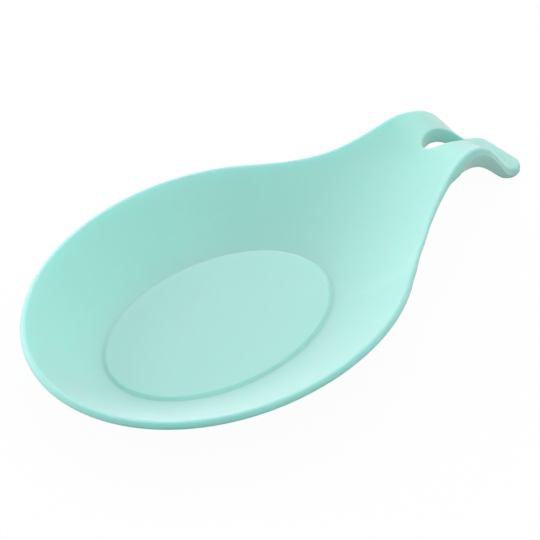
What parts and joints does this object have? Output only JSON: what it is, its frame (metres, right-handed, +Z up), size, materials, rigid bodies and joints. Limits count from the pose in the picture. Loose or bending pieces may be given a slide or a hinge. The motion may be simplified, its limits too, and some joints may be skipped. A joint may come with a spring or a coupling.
{
  "type": "spoon rest",
  "caption": "Moulded silicone spoon rest: egg-shaped bowl with a raised oval floor, a narrowing neck and a hooked handle with an oval hanging hole.",
  "frame": {"origin": "centre of the part's outline, on the table it rests on", "axes": "+X from the bowl towards the handle's end, +Z up from the table"},
  "size_m": [0.201, 0.1082, 0.0303],
  "materials": {
    "silicone": "matt silicone, mint green"
  },
  "bodies": {
    "root": {"floor_pad": "silicone", "bowl_wall": "silicone", "neck": "silicone", "hook_crest": "silicone", "hook_tip": "silicone"}
  },
  "joints": []
}
